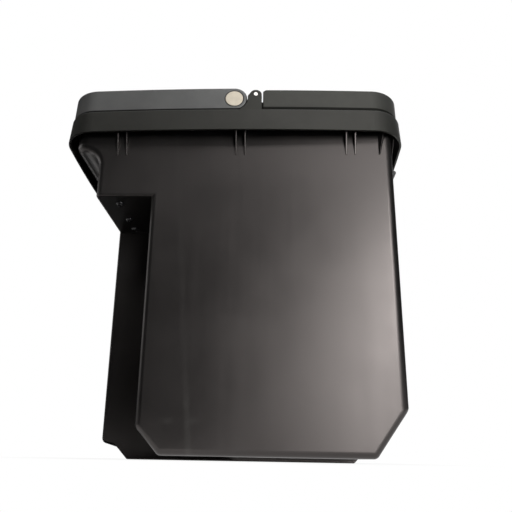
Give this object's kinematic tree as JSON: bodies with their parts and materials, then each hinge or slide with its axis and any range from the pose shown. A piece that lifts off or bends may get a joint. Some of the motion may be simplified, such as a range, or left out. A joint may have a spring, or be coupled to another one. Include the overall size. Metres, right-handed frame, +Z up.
{
  "type": "trash compactor bucket",
  "caption": "Lift-out waste bucket for a kitchen trash compactor: drafted bin with cut lower corners, rear overhang, rim collar, swing-up carry handle and hinged liner retainer.",
  "frame": {"origin": "on the floor under the middle of the rim, at the bottom centre of the bounding box", "axes": "+Z up, +X towards the front grip, +Y to the right as seen from the front"},
  "size_m": [0.394, 0.3046, 0.3955],
  "materials": {
    "bucket": "satin moulded, dark grey",
    "collar": "satin moulded, dark grey",
    "handle": "satin moulded, mid grey",
    "retainer": "satin moulded, dark grey",
    "grip": "satin black",
    "cap": "satin, warm grey",
    "pin": "bright drawn steel",
    "bush": "natural acetal",
    "fastener": "zinc plated",
    "bumper": "glossy black"
  },
  "bodies": {
    "bucket": {"bucket_shell": "bucket", "rim_collar": "collar", "front_grip": "grip", "grip_screw_left": "fastener", "pivot_screw_left": "fastener", "pivot_nut_left": "fastener", "hinge_pin_left": "pin", "shelf_bumper_left_1": "bumper", "shelf_bumper_left_2": "bumper", "shelf_bumper_left_3": "bumper", "grip_screw_right": "fastener", "pivot_screw_right": "fastener", "pivot_nut_right": "fastener", "hinge_pin_right": "pin", "shelf_bumper_right_1": "bumper", "shelf_bumper_right_2": "bumper", "shelf_bumper_right_3": "bumper"},
    "handle": {"carry_handle": "handle", "pivot_cap_left": "cap", "pivot_bush_left": "bush", "pivot_cap_right": "cap", "pivot_bush_right": "bush"},
    "retainer": {"liner_retainer": "retainer"}
  },
  "joints": [
    {"name": "handle_swing", "type": "hinge", "parent": "bucket", "child": "handle", "pos_m": [0.0018, 0, 0.38075], "axis": [0, 1, 0], "range_deg": [0, 90]},
    {"name": "retainer_swing", "type": "hinge", "parent": "bucket", "child": "retainer", "pos_m": [0.0261, 0, 0.3863], "axis": [0, -1, 0], "range_deg": [0, 90]}
  ]
}
